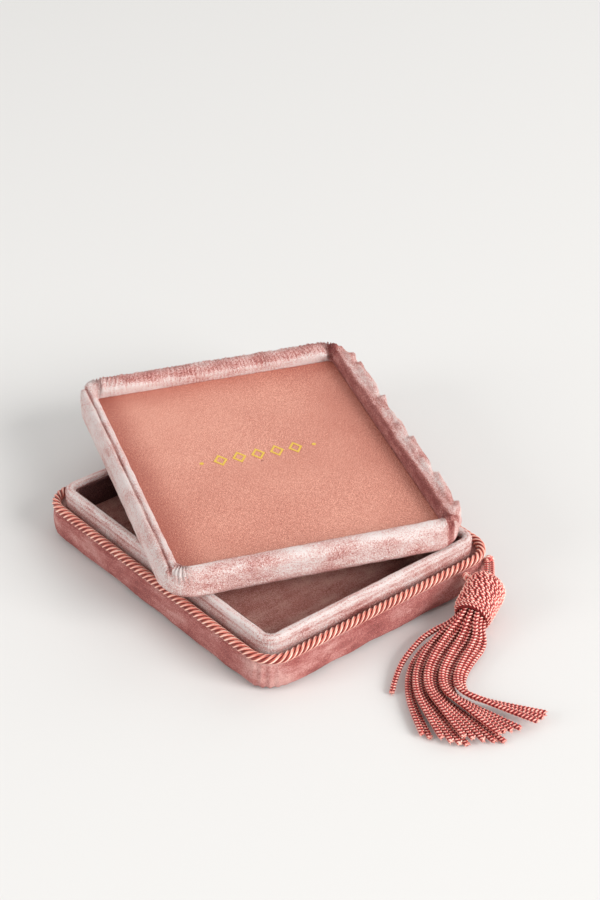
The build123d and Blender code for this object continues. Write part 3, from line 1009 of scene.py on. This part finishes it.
def lid_wrap():
    """The velvet over the lid: a ring round the wall, and the face below it."""
    ring = wrapped_ring(
        "lid_velvet_rim",
        LID,
        np.vstack([lid_outside, lid_inside]),
        VELVET_LID,
        lid_shape,
        lid_painted_sheen_and_shade,
        LID_PLACE,
        inner_from=len(lid_outside),
    )
    face = disc(
        "lid_velvet_face",
        LID,
        rounded_profile(
            [(12.6, 0.04, 0), (12.4, 0.04, 0.1), (12.4, 0.72, 0.1), (FACE_INSET, 0.72, 0)],
            EDGE_STEP,
        ),
        VELVET_LID,
        place=LID_PLACE,
    )
    return ring, face


lid_ring, lid_face = lid_wrap()



def satin_painted_shade(points):
    """The satin painted darker along the left and far sides, and a little at the right: painted
    shade from the rims.
    """
    x, y, _ = points.T
    edge_x, edge_y = LID_HALF[0] - LID_OPENING, LID_HALF[1] - LID_OPENING
    left, right = 1 - smooth(x + edge_x, -1, 13), 1 - smooth(edge_x - x, 0, 24)
    far = 1 - smooth(edge_y - y, 0, 14)
    return -0.42 * left - 0.2 * far - 0.14 * right


SATIN_INSET, SATIN_FACE = 5.42, SATIN_TOP - 0.02
satin_line = [
    (6.2, SATIN_LOW, 0),
    (SATIN_INSET, SATIN_LOW, 0.1),
    (SATIN_INSET, SATIN_FACE, 0.4),
    (7.5, SATIN_FACE, 0),
]
satin_sheet = disc(
    "lid_satin",
    LID,
    rounded_profile(satin_line, EDGE_STEP),
    SATIN,
    lambda points, uvs: -0.03 + wobble(points, 22, 0.03, 71),
    LID_PLACE,
    satin_painted_shade,
)

for piece, body, node, slot, flat in (
    (base_wrap, "base", "base_velvet_wrap", "velvet", (0.40, 0.025)),
    (collar_wrap, "base", "collar_velvet_wrap", "velvet", (0.37, 0.026)),
    (lining, "base", "tray_wall_lining", "velvet_dark", (0.345, 0.0127)),
    (floor_velvet, "base", "tray_floor_velvet", "velvet_dark", (0.0768, 0.0996)),
    (underside, "base", "base_underside_cloth", "underside_cloth", (0.0848, 0.1076)),
    (satin_sheet, "lid", "lid_satin_lining", "satin", (0.0856, 0.109)),
):
    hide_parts(node)
    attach(piece, body)

for piece, flat in ((lid_ring, (0.39, 0.034)), (lid_face, (0.0716, 0.0952))):
    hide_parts("lid_velvet_wrap")
    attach(piece, "lid")

# ---- CAD nodes that keep their own shape -------------------------------------------------

for names, material in (
    (("base_bottom_board", "base_wall_frame", "collar_frame", "tray_floor_board"), BOARD),
    (("lid_top_board", "lid_wall_frame", "lid_lining_card"), BOARD),
    (("base_wall_padding", "tray_floor_foam", "lid_top_padding", "lid_wall_padding"), FOAM),
    (("lid_foil_ornament",), FOIL),
    (("tassel_head_core",), WOOD),
    (("tassel_binding",), KNIT_YARN),
):
    for name in names:
        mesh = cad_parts[name].data
        mesh.materials.clear()
        mesh.materials.append(material)

# ---- Floor, lights and world -------------------------------------------------------------

scene = bpy.context.scene
scene.view_settings.view_transform = "Standard"


def add_floor():
    """A wide, plain, pale floor just under the box."""
    n = Nodes("floor")
    n.set(roughness=0.9)
    n.shader.inputs["Base Color"].default_value = (0.755, 0.749, 0.736, 1)
    bpy.ops.mesh.primitive_plane_add(size=12, location=(0, 0, -0.0002))
    floor = bpy.context.object
    floor.name = "studio_floor"
    floor.data.materials.append(n.material)


def add_light(name, place, size, power, tint=(1, 1, 1)):
    """A soft square lamp that looks at the middle of the box."""
    data = bpy.data.lights.new(name, "AREA")
    data.size, data.energy, data.color = size, power, tint
    lamp = bpy.data.objects.new(name, data)
    lamp.location = place
    aim = CAMERA_TARGET - Vector(place)
    lamp.rotation_mode = "QUATERNION"
    lamp.rotation_quaternion = aim.to_track_quat("-Z", "Y")
    scene.collection.objects.link(lamp)


add_floor()
add_light("key_right", (0.68, -2.25, 1.14), 1.4, 72, (1.0, 0.99, 0.98))
add_light("side_left", (-1.4, 0.3, 0.6), 0.7, 7.5)
add_light("back_right", (1.3, 0.2, 0.9), 1.0, 3)

world = bpy.data.worlds.new("studio")
world.use_nodes = True
world.node_tree.nodes["Background"].inputs["Color"].default_value = (1, 0.99, 0.98, 1)
world.node_tree.nodes["Background"].inputs["Strength"].default_value = 0.6
scene.world = world
